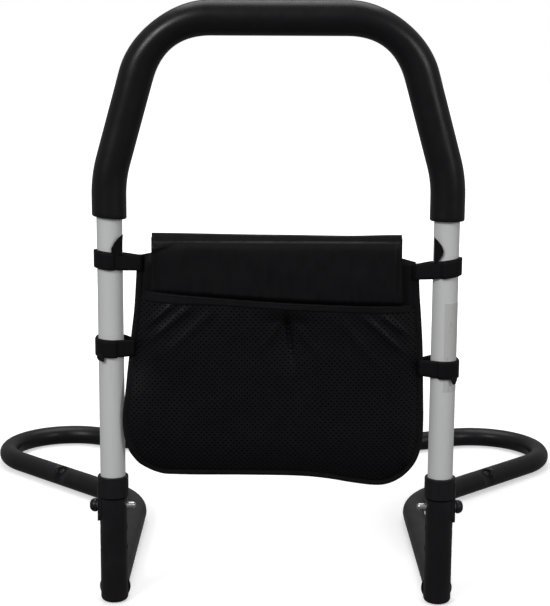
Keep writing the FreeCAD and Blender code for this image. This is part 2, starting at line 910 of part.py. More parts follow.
def make_label():
    """A blank sticker round the front and outer side of the right upright."""
    x = dim("leg_spacing") / 2
    base = Vector(x, 0, dim("label_level"))
    inner_radius = "dims.hoop_radius + dims.label_clearance"
    outer_radius = inner_radius + " + dims.label_thickness"
    outer = cylinder("label_outer", outer_radius, "dims.label_height", base)
    inner = cylinder("label_inner", inner_radius, "dims.label_height", base)
    outer.setExpression("Angle", "dims.label_angle")
    outer.Placement.Rotation = Rotation(Vector(0, 0, 1), dim("label_start_angle"))
    finish(cut("label", outer, inner), "blank_label")


# ---------------------------------------------------------------- make everything
make_hoop()
make_foam_grip()
make_pouch()
make_label()
make_rear_loop()
for side_name, side in SIDES.items():
    make_upright_plug(side_name, side)
    make_leg(side_name, side)
    make_leg_cap(side_name, side)
    make_collar(side_name, side)
    make_neck_tube(side_name, side)
    make_weld_bead(side_name, side)
    make_snap_button(side_name, side)
    make_snap_spring(side_name, side)
    make_lock_pin(side_name, side)
    make_strap("upper", side_name, side)
    make_strap("lower", side_name, side)
doc.recompute()

# ---------------------------------------------------------------- check and write
for feature in doc.Objects:
    if "Invalid" in feature.State or "Error" in feature.State:
        raise RuntimeError(f"{feature.Label} failed: {feature.State}")
for feature in subparts:
    shape = feature.Shape
    if shape.isNull() or not shape.isValid() or len(shape.Solids) == 0:
        raise RuntimeError(f"{feature.Label} has no sound shape")

os.makedirs("parts", exist_ok=True)
for feature in subparts:
    feature.Shape.exportStep(os.path.join("parts", feature.Label + ".step"))
    extent = feature.Shape.BoundBox
    print(f"{feature.Label:20s} solids {len(feature.Shape.Solids)} volume {feature.Shape.Volume:10.1f}"
          f"  x {extent.XMin:7.1f} {extent.XMax:7.1f}  y {extent.YMin:7.1f} {extent.YMax:7.1f}"
          f"  z {extent.ZMin:7.1f} {extent.ZMax:7.1f}")
print("centre offset", TO_CENTRE)
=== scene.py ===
"""Bed assist rail: the foam grip, cloth pouch and straps, every finish, and the light and camera.

Shapes are drawn in millimetres about the plane of the legs (y = 0, with +y towards the back) and
place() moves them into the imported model's frame, in metres.
"""
import math

import bpy
from mathutils import Euler, Matrix, Vector, geometry, kdtree, noise


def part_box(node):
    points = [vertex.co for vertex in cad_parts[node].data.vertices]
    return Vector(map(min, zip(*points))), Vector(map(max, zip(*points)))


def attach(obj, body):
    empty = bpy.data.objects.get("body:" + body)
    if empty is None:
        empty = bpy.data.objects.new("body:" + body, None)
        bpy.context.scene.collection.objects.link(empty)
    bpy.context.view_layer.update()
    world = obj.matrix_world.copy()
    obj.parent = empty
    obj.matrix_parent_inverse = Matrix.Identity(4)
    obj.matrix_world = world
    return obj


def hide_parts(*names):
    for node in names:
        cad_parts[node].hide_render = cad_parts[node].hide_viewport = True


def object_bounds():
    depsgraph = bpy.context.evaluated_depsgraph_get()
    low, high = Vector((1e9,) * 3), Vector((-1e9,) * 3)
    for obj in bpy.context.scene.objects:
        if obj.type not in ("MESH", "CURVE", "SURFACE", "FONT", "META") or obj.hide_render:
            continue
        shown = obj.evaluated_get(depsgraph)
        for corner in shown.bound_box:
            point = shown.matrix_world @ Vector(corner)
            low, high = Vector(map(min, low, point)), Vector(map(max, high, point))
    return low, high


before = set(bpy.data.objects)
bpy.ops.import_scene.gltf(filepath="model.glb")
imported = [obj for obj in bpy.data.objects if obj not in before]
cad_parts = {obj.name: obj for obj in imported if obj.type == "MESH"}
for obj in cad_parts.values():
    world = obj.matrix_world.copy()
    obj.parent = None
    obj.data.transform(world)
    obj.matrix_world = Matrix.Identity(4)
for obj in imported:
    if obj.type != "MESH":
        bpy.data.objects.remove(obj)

cad_low, cad_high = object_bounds()

# ------------ places taken from the frame
MM = 0.001
leg_low, leg_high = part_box("leg_tube_right")
LEG_X = (leg_low.x + leg_high.x) / 2 / MM
LEG_Y = (leg_low.y + leg_high.y) / 2 / MM
HOOP_RADIUS = 12.7
UP = Vector((0, 0, 1))
BACK = Vector((0, 1, 0))


def place(point):
    """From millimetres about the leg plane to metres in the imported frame."""
    return Vector((point[0], point[1] + LEG_Y, point[2])) * MM


# ------------ finishes
class Finish:
    """A procedural material: one Principled shader and the textures that vary it."""

    def __init__(self, name, colour, roughness, **sockets):
        """Start with one colour and roughness. Other sockets are given by name, in lower case."""
        self.material = bpy.data.materials.new(name)
        self.material.use_nodes = True
        self.tree = self.material.node_tree
        self.shader = self.tree.nodes["Principled BSDF"]
        self.shader.inputs["Base Color"].default_value = (*colour, 1)
        self.shader.inputs["Roughness"].default_value = roughness
        for socket, value in sockets.items():
            socket = socket.replace("_", " ").title().replace("Ior", "IOR")
            self.shader.inputs[socket].default_value = value
        self.place = self.tree.nodes.new("ShaderNodeTexCoord").outputs["Object"]

    def node(self, kind, inputs, **settings):
        """A node with its inputs set or linked, and its first output."""
        node = self.tree.nodes.new(kind)
        for name, value in settings.items():
            setattr(node, name, value)
        for name, value in inputs.items():
            if isinstance(value, bpy.types.NodeSocket):
                self.tree.links.new(value, node.inputs[name])
            else:
                node.inputs[name].default_value = value
        return node.outputs[0]

    def noise(self, size_mm, detail=3.0, stretch=(1, 1, 1)):
        """Cloudy noise whose features are about size_mm across."""
        where = self.node("ShaderNodeMapping", {"Vector": self.place, "Scale": stretch})
        inputs = {"Vector": where, "Scale": 1000 / size_mm, "Detail": detail}
        return self.node("ShaderNodeTexNoise", inputs)

    def cells(self, size_mm):
        """Distance to the nearest of many scattered points, size_mm apart."""
        return self.node("ShaderNodeTexVoronoi", {"Vector": self.place, "Scale": 1000 / size_mm})

    def ribs(self, axis, pitch_mm, where=None):
        """Even ribs across one axis."""
        inputs = {"Vector": where or self.place, "Scale": math.pi * 100 / pitch_mm}
        return self.node("ShaderNodeTexWave", inputs, bands_direction=axis)

    def picks(self, pitch_mm):
        """Even ribs across a tape's length, which its mesh keeps as run."""
        length = self.tree.nodes.new("ShaderNodeAttribute")
        length.attribute_name = "run"
        where = self.node("ShaderNodeCombineXYZ", {"X": length.outputs["Fac"]})
        return self.ribs("X", pitch_mm, where)

    def maths(self, operation, a, b):
        """One Math node."""
        return self.node("ShaderNodeMath", {0: a, 1: b}, operation=operation)

    def blend(self, first, first_share, second, second_share):
        """The sum of a share of one texture and a share of another."""
        return self.maths("ADD", self.maths("MULTIPLY", first, first_share),
                          self.maths("MULTIPLY", second, second_share))

    def distance(self, point):
        """How far the surface is from a point of the piece's own frame."""
        away = self.node("ShaderNodeVectorMath", {0: self.place, 1: point}, operation="DISTANCE")
        return [socket for socket in away.node.outputs if socket.name == "Value"][0]

    def range(self, value, low, high, to_low, to_high, rise="SMOOTHSTEP"):
        """A step from one range of values to another."""
        inputs = {"Value": value, "From Min": low, "From Max": high}
        inputs.update({"To Min": to_low, "To Max": to_high})
        return self.node("ShaderNodeMapRange", inputs, interpolation_type=rise)

    def vary_colour(self, amount, first, second):
        """Mix two colours by a texture."""
        mix = self.tree.nodes.new("ShaderNodeMix")
        mix.data_type = "RGBA"
        self.tree.links.new(amount, mix.inputs["Factor"])
        mix.inputs["A"].default_value = (*first, 1)
        mix.inputs["B"].default_value = (*second, 1)
        colour = [socket for socket in mix.outputs if socket.type == "RGBA"][0]
        self.tree.links.new(colour, self.shader.inputs["Base Color"])

    def vary_roughness(self, amount, low, high):
        """Let the roughness follow a texture."""
        self.tree.links.new(self.range(amount, 0.3, 0.7, low, high), self.shader.inputs["Roughness"])

    def vary_gloss(self, amount):
        """Let a texture set how strongly the surface reflects."""
        self.tree.links.new(amount, self.shader.inputs["Specular IOR Level"])

    def bump(self, height, depth_mm, strength=1.0):
        """Raise the surface by a texture, over any bump that is there already."""
        node = self.tree.nodes.new("ShaderNodeBump")
        node.inputs["Distance"].default_value = depth_mm * MM
        node.inputs["Strength"].default_value = strength
        self.tree.links.new(height, node.inputs["Height"])
        normal = self.shader.inputs["Normal"]
        if normal.links:
            self.tree.links.new(normal.links[0].from_socket, node.inputs["Normal"])
        self.tree.links.new(node.outputs["Normal"], normal)


def grey(value):
    """A neutral grey."""
    return (value, value, value)


def black(value):
    """A very dark grey with a slightly cool cast."""
    return (value, value * 0.96, value * 1.22)


ENAMEL_GLOSS = 0.36
COLLAR_BOTTOM = 112.3  # the underside of the collars' rims
COLLAR_SHADE_START = 3.0  # how far below it the leg starts to lose its gloss, in a painted shade line
COLLAR_SHADE_FULL = 1.4  # and how far below it the gloss is gone
DIMPLE_BUMP = 3.5


def black_enamel(name):
    """Satin powder coat: a fine grain, slow changes of gloss and faint rubbed patches."""
    finish = Finish(name, black(0.0078), 0.36, specular_ior_level=ENAMEL_GLOSS)
    rubbed = finish.range(finish.noise(26, 4), 0.45, 0.75, 0, 1)
    finish.vary_colour(rubbed, black(0.0062), black(0.0115))
    finish.vary_roughness(finish.noise(20, 3), 0.33, 0.40)
    finish.bump(finish.noise(1.1, 2), 0.05)
    return finish


def leg_enamel_painted_shade(leg):
    """The legs' powder coat, with a painted shade line in the corner under the collar, where its gloss
    is taken away.
    """
    finish = black_enamel("leg_enamel_painted_shade")
    height = finish.node("ShaderNodeSeparateXYZ", {0: finish.place}).node.outputs["Z"]
    edge = COLLAR_BOTTOM * MM - leg.matrix_world.translation.z
    start = edge - COLLAR_SHADE_START * MM
    full = edge - COLLAR_SHADE_FULL * MM
    # painted shade: the gloss falls to nothing just below the collar's rim, in place of the shadow gap
    # under it
    finish.vary_gloss(finish.range(height, start, full, ENAMEL_GLOSS, 0.0))
    return finish.material


def dimpled_enamel_painted_shade(side_name):
    """The neck tube's powder coat, pressed in round the snap button, and darker there by painted shade.
    """
    finish = black_enamel("dimpled_enamel_painted_shade_" + side_name)
    button_low, button_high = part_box("snap_button_" + side_name)
    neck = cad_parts["neck_tube_" + side_name]
    middle = (button_low + button_high) / 2 - neck.matrix_world.translation
    distance = finish.distance(middle)
    # painted shade in the dimple: the gloss falls nearly to nothing close to the button
    finish.vary_gloss(finish.range(distance, 6 * MM, 15 * MM, 0.03, ENAMEL_GLOSS))
    finish.bump(finish.range(distance, 5 * MM, 17 * MM, 0, 1), DIMPLE_BUMP)
    return finish.material


def grey_enamel():
    """Pale enamel with slight orange peel, and fine vertical rub marks."""
    finish = Finish("grey_enamel", grey(0.6), 0.33, coat_weight=0.15, coat_roughness=0.18)
    marks = finish.range(finish.noise(3.2, 6, (1, 1, 0.06)), 0.62, 0.75, 0, 1)
    clouds = finish.noise(60, 3)
    finish.vary_colour(finish.blend(marks, 0.5, clouds, 0.5), (0.85, 0.855, 0.86), (0.74, 0.742, 0.745))
    finish.vary_roughness(clouds, 0.28, 0.42)
    finish.bump(finish.noise(2.4, 2), 0.03)
    return finish.material


def moulded(name, shade, roughness, grain_mm, grain_depth):
    """Moulded plastic: a spark-eroded grain and uneven gloss."""
    finish = Finish(name, black(shade), roughness, specular_ior_level=0.34)
    finish.vary_colour(finish.noise(11, 3), black(shade * 0.8), black(shade * 1.35))
    finish.vary_roughness(finish.noise(5, 3), roughness - 0.06, roughness + 0.09)
    finish.bump(finish.noise(grain_mm, 3), grain_depth)
    return finish.material


def turned_steel(name, shade, roughness):
    """Plated steel with fine turning marks round the shank."""
    finish = Finish(name, grey(shade), roughness, metallic=1.0)
    turning = finish.noise(0.35, 2, (1, 0.04, 0.04))
    finish.vary_colour(finish.noise(4, 4), grey(shade * 0.85), grey(min(1, shade * 1.1)))
    finish.vary_roughness(finish.noise(2.2, 3), roughness - 0.06, roughness + 0.1)
    finish.bump(turning, 0.02)
    return finish.material


def grip_foam():
    """Closed-cell foam: a skin of fine cells, dull, with slow dents."""
    finish = Finish("grip_foam", black(0.0055), 0.31, specular_ior_level=0.33, sheen_weight=0.02,
                    sheen_roughness=0.4)
    finish.vary_colour(finish.noise(7, 5), black(0.0038), black(0.0078))
    finish.vary_roughness(finish.noise(16, 3), 0.28, 0.36)
    finish.bump(finish.cells(0.9), 0.05, 0.6)
    finish.bump(finish.noise(22, 2), 0.25, 0.5)
    return finish.material


def woven(name, shade, pitch_mm, roughness):
    """Plain-weave nylon cloth, hung upright: warp and weft threads with slubs."""
    finish = Finish(name, black(shade), roughness, specular_ior_level=0.16, sheen_weight=0.03,
                    sheen_roughness=0.35)
    weave = finish.maths("MULTIPLY", finish.ribs("X", pitch_mm), finish.ribs("Z", pitch_mm))
    slubs = finish.noise(5, 4, (1, 1, 0.25))
    finish.vary_colour(finish.blend(weave, 0.55, slubs, 0.6), black(shade * 0.6), black(shade * 1.8))
    finish.vary_roughness(slubs, roughness - 0.08, roughness + 0.1)
    finish.bump(weave, 0.12, 0.6)
    finish.bump(finish.noise(9, 3), 0.35, 0.5)
    return finish.material


def ribbed_tape(name, shade, along_mm, across_mm, roughness):
    """Narrow woven tape: ribs along its length in the z direction, and picks across its run."""
    finish = Finish(name, black(shade), roughness, specular_ior_level=0.15, sheen_weight=0.015,
                    sheen_roughness=0.35)
    weave = finish.maths("MULTIPLY", finish.picks(along_mm), finish.ribs("Z", across_mm))
    fuzz = finish.noise(2.2, 4)
    finish.vary_colour(finish.blend(weave, 0.6, fuzz, 0.5), black(shade * 0.6), black(shade * 1.7))
    finish.vary_roughness(fuzz, roughness - 0.06, roughness + 0.1)
    finish.bump(weave, 0.16, 0.8)
    return finish.material


def net_yarn():
    """The knitted yarn of the mesh pocket."""
    finish = Finish("pocket_mesh", black(0.0052), 0.5, specular_ior_level=0.15, sheen_weight=0.015,
                    sheen_roughness=0.3)
    finish.vary_colour(finish.noise(0.8, 3), black(0.0038), black(0.0078))
    finish.vary_roughness(finish.noise(6, 3), 0.42, 0.6)
    finish.bump(finish.noise(0.45, 3), 0.12, 0.8)
    return finish.material


def label_film():
    """Blank white vinyl, a little yellowed and scuffed."""
    finish = Finish("label_film", grey(0.7), 0.4)
    scuffs = finish.range(finish.noise(2.5, 5, (1, 1, 0.3)), 0.60, 0.74, 0, 1)
    finish.vary_colour(scuffs, (0.70, 0.70, 0.69), (0.55, 0.55, 0.53))
    finish.vary_roughness(finish.noise(6, 3), 0.3, 0.5)
    finish.bump(finish.noise(3, 2), 0.03)
    return finish.material


FINISHES = {
    "black_enamel": black_enamel("black_enamel").material,
    "grey_enamel": grey_enamel(),
    "black_plastic": moulded("black_plastic", 0.007, 0.48, 0.7, 0.05),
    "knob_plastic": moulded("knob_plastic", 0.009, 0.34, 1.2, 0.03),
    "pin_steel": turned_steel("pin_steel", 0.70, 0.24),
    "button_steel": turned_steel("button_steel", 0.05, 0.45),
    "grip_foam": grip_foam(),
    "strap_webbing": ribbed_tape("strap_webbing", 0.0050, 1.3, 1.5, 0.56),
    "pouch_fabric": woven("pouch_fabric", 0.0044, 0.9, 0.5),
    "binding_tape": ribbed_tape("binding_tape", 0.0050, 1.1, 1.1, 0.58),
    "pocket_mesh": net_yarn(),
    "label_film": label_film(),
}


def finish_cad_nodes():
    """Give each carried-over node the finish of its slot in the record."""
    # the legs and the neck tubes get the black enamel with painted shade, under the collars and round
    # the snap buttons
    painted_shade_legs = leg_enamel_painted_shade(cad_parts["leg_tube_left"])
    special = {"leg_tube_left": painted_shade_legs, "leg_tube_right": painted_shade_legs}
    for side_name in ("left", "right"):
        special["neck_tube_" + side_name] = dimpled_enamel_painted_shade(side_name)
    for name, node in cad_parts.items():
        for holder in node.material_slots:
            slot_name = holder.material.name.split(".")[0]
            holder.material = special.get(name, FINISHES[slot_name])


# ------------ mesh building
def add_piece(name, points, faces, slot, run=None):
    """A smooth mesh piece that rides on the handle and takes a slot's finish.

    run is how far along its tape each point lies, for the tape's texture.
    """
    mesh = bpy.data.meshes.new(name)
    mesh.from_pydata([place(point) for point in points], [], faces)
    mesh.polygons.foreach_set("use_smooth", [True] * len(mesh.polygons))
    if run:
        lengths = mesh.attributes.new("run", "FLOAT", "POINT")
        lengths.data.foreach_set("value", [length * MM for length in run])
    mesh.materials.append(FINISHES[slot])
    mesh.update()
    piece = bpy.data.objects.new(name, mesh)
    bpy.context.scene.collection.objects.link(piece)
    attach(piece, "hoop")
    return piece


def sweep(stations, sections):
    """Closed sections set along stations of (origin, across, outward).

    Gives the points, the faces, and the length travelled at each point.
    """
    points = []
    faces = []
    lengths = []
    around = len(sections[0])
    travelled = 0.0
    before = stations[0][0]
    for (origin, across, outward), section in zip(stations, sections):
        points += [origin + across * u + outward * v for u, v in section]
        travelled += (origin - before).length
        before = origin
        lengths += [travelled] * around
    for ring in range(len(stations) - 1):
        for corner in range(around):
            after = (corner + 1) % around
            low = ring * around
            high = low + around
            faces.append((low + corner, low + after, high + after, high + corner))
    faces.append(tuple(reversed(range(around))))
    faces.append(tuple(range(len(points) - around, len(points))))
    return points, faces, lengths


def thicken(sheet, thickness):
    """Give a sheet its thickness, half of it to each side."""
    thick = sheet.modifiers.new("thickness", "SOLIDIFY")
    thick.thickness = thickness * MM
    thick.offset = 0


def add_tape(name, slot, *runs):
    """One piece of tape swept along one or more runs of (stations, sections)."""
    points = []
    faces = []
    lengths = []
    for stations, sections in runs:
        new_points, new_faces, new_lengths = sweep(stations, sections)
        faces += [tuple(index + len(points) for index in face) for face in new_faces]
        points += new_points
        lengths += new_lengths
    return add_piece(name, points, faces, slot, run=lengths)


def fill_outline(outline, inner):
    """Corners and triangles over a flat outline and the points inside it."""
    border = [(index, (index + 1) % len(outline)) for index in range(len(outline))]
    corners, _, faces, _, _, _ = geometry.delaunay_2d_cdt(outline + inner, border, [], 1, 0.01)
    return corners, faces


def band_section(width, thickness, steps=6):
    """A flat band with round edges: (across, outward) points, centred on the band."""
    half = width / 2 - thickness / 2
    edge = half + thickness / 2 * 0.8
    face = [-half + 2 * half * step / steps for step in range(steps + 1)]
    section = [(across, thickness / 2) for across in face]
    section += [(edge, thickness / 4), (edge, -thickness / 4)]
    section += [(-across, -thickness / 2) for across in face]
    section += [(-edge, -thickness / 4), (-edge, thickness / 4)]
    return section


def smooth_line(points, spacing):
    """Points about spacing apart on a smooth line through the given points."""
    knots = [Vector(point) for point in points]
    knots = [2 * knots[0] - knots[1]] + knots + [2 * knots[-1] - knots[-2]]
    line = []
    for before, here, there, after in zip(knots, knots[1:], knots[2:], knots[3:]):
        steps = max(2, round((there - here).length / spacing))
        for step in range(steps):
            t = step / steps
            line.append(0.5 * (2 * here + (there - before) * t
                               + (2 * before - 5 * here + 4 * there - after) * t ** 2
                               + (3 * here - before - 3 * there + after) * t ** 3))
    line.append(knots[-2])
    return line


def smoothstep(low, high, value):
    """A smooth rise from 0 at low to 1 at high. With low above high, it falls as the value grows."""
    t = min(1.0, max(0.0, (value - low) / (high - low)))
    return t * t * (3 - 2 * t)


def bell(value, width):
    """1 at 0, falling smoothly to either side."""
    return math.exp(-(value / width) ** 2)


STITCH_LENGTH = 2.3
STITCH_PITCH = 3.2
STITCH_RADIUS = 0.32
STITCH_SIDES = 5
# places along a stitch as a share of its length, and how thick it is there
STITCH_PROFILE = [(-0.5, 0.35), (-0.28, 1.0), (0.28, 1.0), (0.5, 0.35)]


def stitch_places(line):
    """The evenly spaced stitches of a line of (point, outward) pairs: (middle, along, outward)."""
    travelled = 0.0
    due = STITCH_PITCH / 2
    for (start, outward), (end, _) in zip(line, line[1:]):
        length = (end - start).length
        while due < travelled + length:
            along = (end - start) / length
            yield start + along * (due - travelled), along, outward
            due += STITCH_PITCH
        travelled += length


def add_stitches(name, lines):
    """A row of raised thread stitches along each line of (point, outward) pairs."""
    points = []
    faces = []
    sides = STITCH_SIDES
    for line in lines:
        for middle, along, outward in stitch_places(line):
            across = along.cross(outward).normalized()
            first = len(points)
            for shift, size in STITCH_PROFILE:
                centre = middle + along * (shift * STITCH_LENGTH) + outward * (0.25 * size - 0.15)
                for side in range(sides):
                    angle = 2 * math.pi * side / sides
                    spoke = across * math.cos(angle) + outward * math.sin(angle)
                    points.append(centre + spoke * (STITCH_RADIUS * size))
            for ring in range(len(STITCH_PROFILE) - 1):
                for side in range(sides):
                    low = first + ring * sides
                    after = (side + 1) % sides
                    faces.append((low + side, low + after, low + sides + after, low + sides + side))
            last = len(points) - sides
            faces.append(tuple(first + side for side in reversed(range(sides))))
            faces.append(tuple(last + side for side in range(sides)))
    return add_piece(name, points, faces, "binding_tape")


# ------------ foam grip
FOAM_RADIUS = 17.1
FOAM_INNER = 12.75
FOAM_BOTTOM = 394.8
FOAM_END_TILT = 0.10  # the left end is cut a little off square
FOAM_LEFT_LIFT = 1.9  # and is a little shorter
HOOP_TOP = 589.9
HOOP_KNEE = 436.0
HOOP_LEAN = math.radians(15.73)  # of the hoop's sloping sides
KNEE_BEND = 125.3
TOP_BEND = 75.5
BEND_THINNING = 1.45  # how much the foam is squeezed in the middle of the top bends
TOP_TURN = math.pi / 2 - HOOP_LEAN
FOAM_SIDES = 56
FOAM_SLACK = 34  # how far up the left end's tilt and lift reach
FOAM_RIM = [
    # distance back from the end's face, and radius, from the outside to the bore
    (1.6, FOAM_RADIUS), (0.7, FOAM_RADIUS - 0.3), (0.15, FOAM_RADIUS - 1.0), (0.0, FOAM_RADIUS - 2.0),
    (0.0, FOAM_INNER + 0.9), (0.25, FOAM_INNER),
]


def hoop_half():
    """The hoop's centreline from the middle of its top to the foam's right end, with its headings."""
    rise = HOOP_TOP - HOOP_KNEE
    top_corner = TOP_BEND * math.tan(TOP_TURN / 2)
    knee_corner = KNEE_BEND * math.tan(HOOP_LEAN / 2)
    top_run = LEG_X - rise * math.tan(HOOP_LEAN) - top_corner
    side_run = rise / math.cos(HOOP_LEAN) - top_corner - knee_corner
    last_run = HOOP_KNEE - knee_corner - FOAM_BOTTOM
    parts = [
        # length, turn, steps
        (top_run, 0.0, 8),
        (TOP_BEND * TOP_TURN, TOP_TURN, 34),
        (side_run, 0.0, 10),
        (KNEE_BEND * HOOP_LEAN, HOOP_LEAN, 14),
        (last_run, 0.0, 5),
    ]
    point = Vector((0, 0, HOOP_TOP))
    heading = 0.0
    line = [(point.copy(), heading)]
    for length, turn, steps in parts:
        for _ in range(steps):
            heading += turn / steps / 2
            chord = length / steps if turn == 0 else 2 * (length / turn) * math.sin(turn / steps / 2)
            point = point + Vector((math.cos(heading), 0, -math.sin(heading))) * chord
            heading += turn / steps / 2
            line.append((point.copy(), heading))
    return line


def foam_end(point, across):
    """The rings of one end, from its rounded rim to the bore."""
    return [(point + UP * back, across, radius, 0.0) for back, radius in FOAM_RIM]


def make_foam_grip():
    """A closed tube of foam round the hoop: its left end, its outside, its right end and its bore.

    Each ring is its centre, its direction away from the hoop's middle, its radius, and how far it
    is squeezed in that direction.
    """
    half = hoop_half()
    mirrored = [(Vector((-p.x, 0, p.z)), -heading) for p, heading in reversed(half[1:])]
    outside = []
    for point, heading in mirrored + half:
        across = Vector((math.sin(heading), 0, math.cos(heading)))
        squeeze = BEND_THINNING * math.sin(math.pi * min(1, abs(heading) / TOP_TURN)) ** 2
        outside.append((point, across, FOAM_RADIUS, squeeze))
    left_end = foam_end(*outside[0][:2])
    right_end = foam_end(*outside[-1][:2])
    bore = [(point, across, FOAM_INNER, 0.0) for point, across, _, _ in reversed(outside[1:-1])]
    rings = left_end[::-1] + outside[1:-1] + right_end + bore
    points = []
    faces = []
    for centre, across, radius, squeeze in rings:
        for corner in range(FOAM_SIDES):
            angle = 2 * math.pi * corner / FOAM_SIDES
            flat = (radius - squeeze) * math.cos(angle)
            point = centre + across * flat + BACK * (radius * math.sin(angle))
            if point.x < 0:
                slack = smoothstep(FOAM_BOTTOM + FOAM_SLACK, FOAM_BOTTOM, centre.z)
                point.z += (FOAM_LEFT_LIFT - FOAM_END_TILT * (point.x + LEG_X)) * slack
            points.append(point)
    for ring in range(len(rings)):
        low = ring * FOAM_SIDES
        high = (ring + 1) % len(rings) * FOAM_SIDES
        for corner in range(FOAM_SIDES):
            after = (corner + 1) % FOAM_SIDES
            faces.append((low + after, low + corner, high + corner, high + after))
    grip = add_piece("foam_sleeve", points, faces, "grip_foam")
    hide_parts("foam_grip")


# ------------ pouch outline and hang
BINDING_WIDTH = 6.6
OUTLINE_SPACING = 1.5
# the pouch's bound edge seen from the front: down its left side, along the bottom, up its right side
OUTLINE = [
    (-139.5, 0, 359.8), (-140.8, 0, 335), (-142.9, 0, 305), (-146.0, 0, 280), (-149.8, 0, 244),
    (-150.9, 0, 231), (-152.1, 0, 220), (-153.8, 0, 207), (-154.8, 0, 195), (-154.4, 0, 184),
    (-152.9, 0, 174), (-149.6, 0, 163.5), (-145.6, 0, 156.0), (-136.9, 0, 145.5), (-120, 0, 136.4),
    (-100, 0, 134.2), (-30, 0, 134.1), (20, 0, 133.6), (50, 0, 131.0), (78, 0, 126.4),
    (103, 0, 123.9), (119, 0, 127.6), (132.3, 0, 136.9), (142.2, 0, 150.7), (147.3, 0, 171),
    (147.9, 0, 195), (147.3, 0, 215), (145.7, 0, 262), (143.6, 0, 294), (141.0, 0, 325),
    (139.8, 0, 353.6),
]
outline_line = smooth_line(OUTLINE, OUTLINE_SPACING)
outline_inward = []
for index, point in enumerate(outline_line):
    before = outline_line[max(0, index - 1)]
    after = outline_line[min(len(outline_line) - 1, index + 1)]
    along = (after - before).normalized()
    outline_inward.append(Vector((-along.z, 0, along.x)))

outline_tree = kdtree.KDTree(len(outline_line))
for index, point in enumerate(outline_line):
    outline_tree.insert(point, index)
outline_tree.balance()


def edge_distance(x, z):
    """How far a point is inside the pouch's bound edge. Negative outside."""
    point = Vector((x, 0, z))
    nearest, index, distance = outline_tree.find(point)
    return math.copysign(distance, (point - nearest).dot(outline_inward[index]))


POUCH_BOTTOM = 124
POUCH_RISE = 242
BELLY = 2.2  # how far the pouch's middle sags forward
RIPPLE = 1.1  # the height of its slow folds
SWING = 10.0


def swing(x, z):
    """How far the pouch's lower left edge stands forward, to lap over the front of the upright."""
    return SWING * smoothstep(-104, -150, x) * smoothstep(120, 165, z) * smoothstep(272, 214, z)


def hang(x, z):
    """How far the loose pouch stands off the leg plane, by its own weight and folds."""
    rise = (z - POUCH_BOTTOM) / POUCH_RISE
    belly = -BELLY * math.cos(x / 150 * math.pi / 2) * math.sin(rise * math.pi)
    ripple = RIPPLE * noise.noise(Vector((x / 75, 0.3, z / 60)))
    return belly + ripple - swing(x, z)


PANEL_THICKNESS = 1.6
PANEL_GRID = 5.0
FLAP_LEFT = -125.3
FLAP_RIGHT = 122.8
TAB_TOP = 377.0  # the tab is the part of the back panel that stands up inside the flap
TAB_FOOT_LEFT = 361.8
TAB_FOOT_RIGHT = 357.3


def on_back_panel(x, z):
    """Whether a point is well inside the back panel: on its tab, or inside the binding."""
    on_tab = FLAP_LEFT + 3 < x < FLAP_RIGHT - 3 and 350 < z < TAB_TOP - 3
    return on_tab or (z < 352 and edge_distance(x, z) > BINDING_WIDTH / 2 + 2.5)


def make_back_panel():
    """The cloth behind the pockets: its edge lies inside the binding, its top under the flap."""
    inset = BINDING_WIDTH / 2
    edge = [p + n * inset for p, n in zip(outline_line, outline_inward)][::3]
    edge += [Vector((FLAP_RIGHT, 0, TAB_FOOT_RIGHT)), Vector((FLAP_RIGHT, 0, TAB_TOP))]
    edge += [Vector((FLAP_LEFT, 0, TAB_TOP)), Vector((FLAP_LEFT, 0, TAB_FOOT_LEFT))]
    inner = []
    for row in range(50):
        z = POUCH_BOTTOM + 4 + row * PANEL_GRID
        for column in range(-31, 31):
            x = (column + 0.5 * (row % 2)) * PANEL_GRID
            if on_back_panel(x, z):
                inner.append(Vector((x, z)))
    corners, faces = fill_outline([Vector((p.x, p.z)) for p in edge], inner)
    points = [Vector((p.x, hang(p.x, p.y), p.y)) for p in corners]
    panel = add_piece("pouch_back", points, faces, "pouch_fabric")
    thicken(panel, PANEL_THICKNESS)
    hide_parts("pouch_back_panel")
    return panel


def make_binding():
    """Tape folded over the sides and bottom, puckered by its stitching."""
    stations = []
    sections = []
    travelled = 0.0
    for index in range(0, len(outline_line), 2):
        point = outline_line[index]
        inward = outline_inward[index]
        origin = Vector((point.x, hang(point.x, point.z), point.z))
        travelled += 2 * OUTLINE_SPACING
        pucker = 0.22 * math.sin(travelled / 4.1) + 0.25 * noise.noise(Vector((travelled / 9, 4, 0)))
        width = BINDING_WIDTH + 0.35 * noise.noise(Vector((travelled / 26, 0, 7)))
        # (distance in from the fold, distance forward), from the tape's inner edge to its fold
        front = [(width, 1.05), (width - 0.3, 1.55 + pucker * 0.3), (4.6, 1.52)]
        front += [(3.0, 1.95 + pucker), (1.2, 1.8 + pucker * 0.5), (0.3, 1.0), (0.0, 0.0)]
        back = [(u, -v) for u, v in reversed(front[:-1])]
        stations.append((origin, inward, -BACK))
        sections.append(front + back)
    binding = add_tape("edge_binding", "binding_tape", (stations, sections))
    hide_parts("pouch_binding")
    return binding


def edge_stitch_lines():
    """Stitches near the binding's inner edge, front and back."""
    front = []
    back = []
    for point, inward in zip(outline_line[::2], outline_inward[::2]):
        x, _, z = point + inward * (BINDING_WIDTH - 1.8)
        y = hang(point.x, point.z)
        front.append((Vector((x, y - 1.55, z)), -BACK))
        back.append((Vector((x, y + 1.55, z)), BACK))
    return [front, back]


